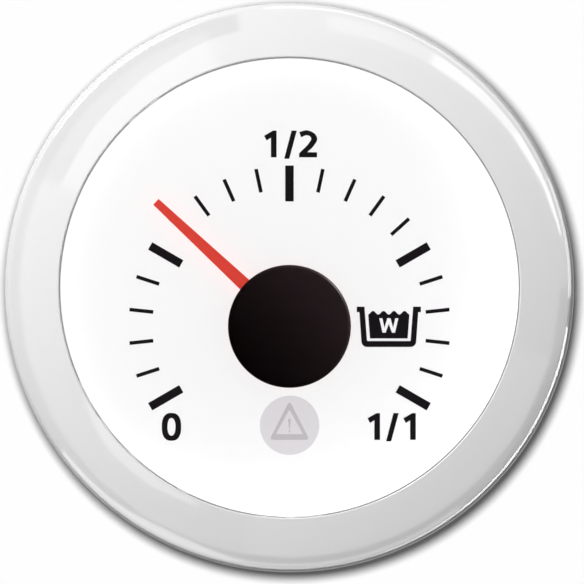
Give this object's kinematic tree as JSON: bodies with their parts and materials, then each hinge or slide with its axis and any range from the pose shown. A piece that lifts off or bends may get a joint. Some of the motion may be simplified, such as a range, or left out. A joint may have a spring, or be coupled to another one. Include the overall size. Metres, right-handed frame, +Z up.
{
  "type": "waste tank gauge",
  "caption": "Round panel gauge for a waste tank: white front ring, double lens, printed dial, red pointer on a geared motor, threaded barrel with ring nut, rear connector.",
  "frame": {"origin": "centre of the seal's rear face, where the gauge bears on the panel, on the axis of the barrel", "axes": "the dial faces -Y with +Z up and +X to the viewer's right, and the barrel runs back along +Y"},
  "size_m": [0.06, 0.0563, 0.06],
  "materials": {
    "ring_white": "smooth satin gloss, cool white",
    "lens_glass": "clear, polished",
    "spacer_grey": "matt, grey",
    "rubber_black": "matt, soft",
    "dial_white": "matt white, lit evenly",
    "print_black": "screen print",
    "frosted_white": "frosted, lets light through",
    "pointer_red": "smooth, orange-red",
    "cap_black": "satin black",
    "bright_steel": "bright zinc or tin",
    "clear_guide": "clear acrylic",
    "tray_white": "matt white, reflects light",
    "lamp_yellow": "white lamp body, yellow phosphor",
    "lamp_red": "white lamp body, pale red lens",
    "board_green": "green solder mask",
    "chip_black": "moulded black",
    "can_metal": "bare can",
    "motor_black": "fine matt",
    "core_steel": "stamped sheets",
    "coil_copper": "enamelled copper wire",
    "gear_ivory": "natural acetal",
    "magnet_grey": "dark ferrite",
    "case_black": "fine matt",
    "nut_black": "fine matt",
    "connector_black": "smooth",
    "contact_tin": "tinned brass",
    "membrane_white": "felted sheet"
  },
  "bodies": {
    "gauge": {"front_ring": "ring_white", "outer_lens": "lens_glass", "lens_spacer": "spacer_grey", "inner_lens": "lens_glass", "lens_seal": "rubber_black", "dial_retainer": "dial_white", "dial": "dial_white", "scale_marks": "print_black", "lamp_window": "frosted_white", "light_guide": "clear_guide", "dial_tray": "tray_white", "dial_lamps": "lamp_yellow", "warning_lamp": "lamp_red", "circuit_board": "board_green", "board_screws": "bright_steel", "controller_chip": "chip_black", "chip_legs": "bright_steel", "supply_capacitor": "can_metal", "supply_regulator": "chip_black", "surge_diode": "chip_black", "motor_cover": "motor_black", "motor_case": "motor_black", "stator_core": "core_steel", "coil_bobbins": "motor_black", "coil_windings": "coil_copper", "motor_pins": "bright_steel", "idler_pin": "bright_steel", "case": "case_black", "vent_membrane": "membrane_white", "connector_body": "connector_black", "connector_contacts": "contact_tin", "panel_seal": "rubber_black"},
    "pointer_assembly": {"pointer": "pointer_red", "pointer_cap": "cap_black", "pointer_shaft": "bright_steel", "output_wheel": "gear_ivory"},
    "idler": {"idler_wheel": "gear_ivory"},
    "rotor": {"rotor_pinion": "gear_ivory", "rotor_magnet": "magnet_grey"},
    "nut": {"ring_nut": "nut_black"}
  },
  "joints": [
    {"name": "rotor_turn", "type": "hinge", "parent": "gauge", "child": "rotor", "pos_m": [0, 0, 0.0084], "axis": [0, 1, 0], "range_deg": [-13140, 30060]},
    {"name": "idler_turn", "type": "hinge", "parent": "gauge", "child": "idler", "pos_m": [-0.00514, 0, 0.00324], "axis": [0, 1, 0], "range_deg": [-2505, 1095]},
    {"name": "pointer_turn", "type": "hinge", "parent": "gauge", "child": "pointer_assembly", "pos_m": [0, 0, -0.0041], "axis": [0, 1, 0], "range_deg": [-73, 167]},
    {"name": "nut_travel", "type": "slide", "parent": "gauge", "child": "nut", "axis": [0, 1, 0], "range_m": [-0.01, 0.04]}
  ],
  "couplings": [
    {"joint": "idler_turn", "follows": "rotor_turn", "ratio": -0.083333},
    {"joint": "pointer_turn", "follows": "rotor_turn", "ratio": 0.0055556}
  ]
}
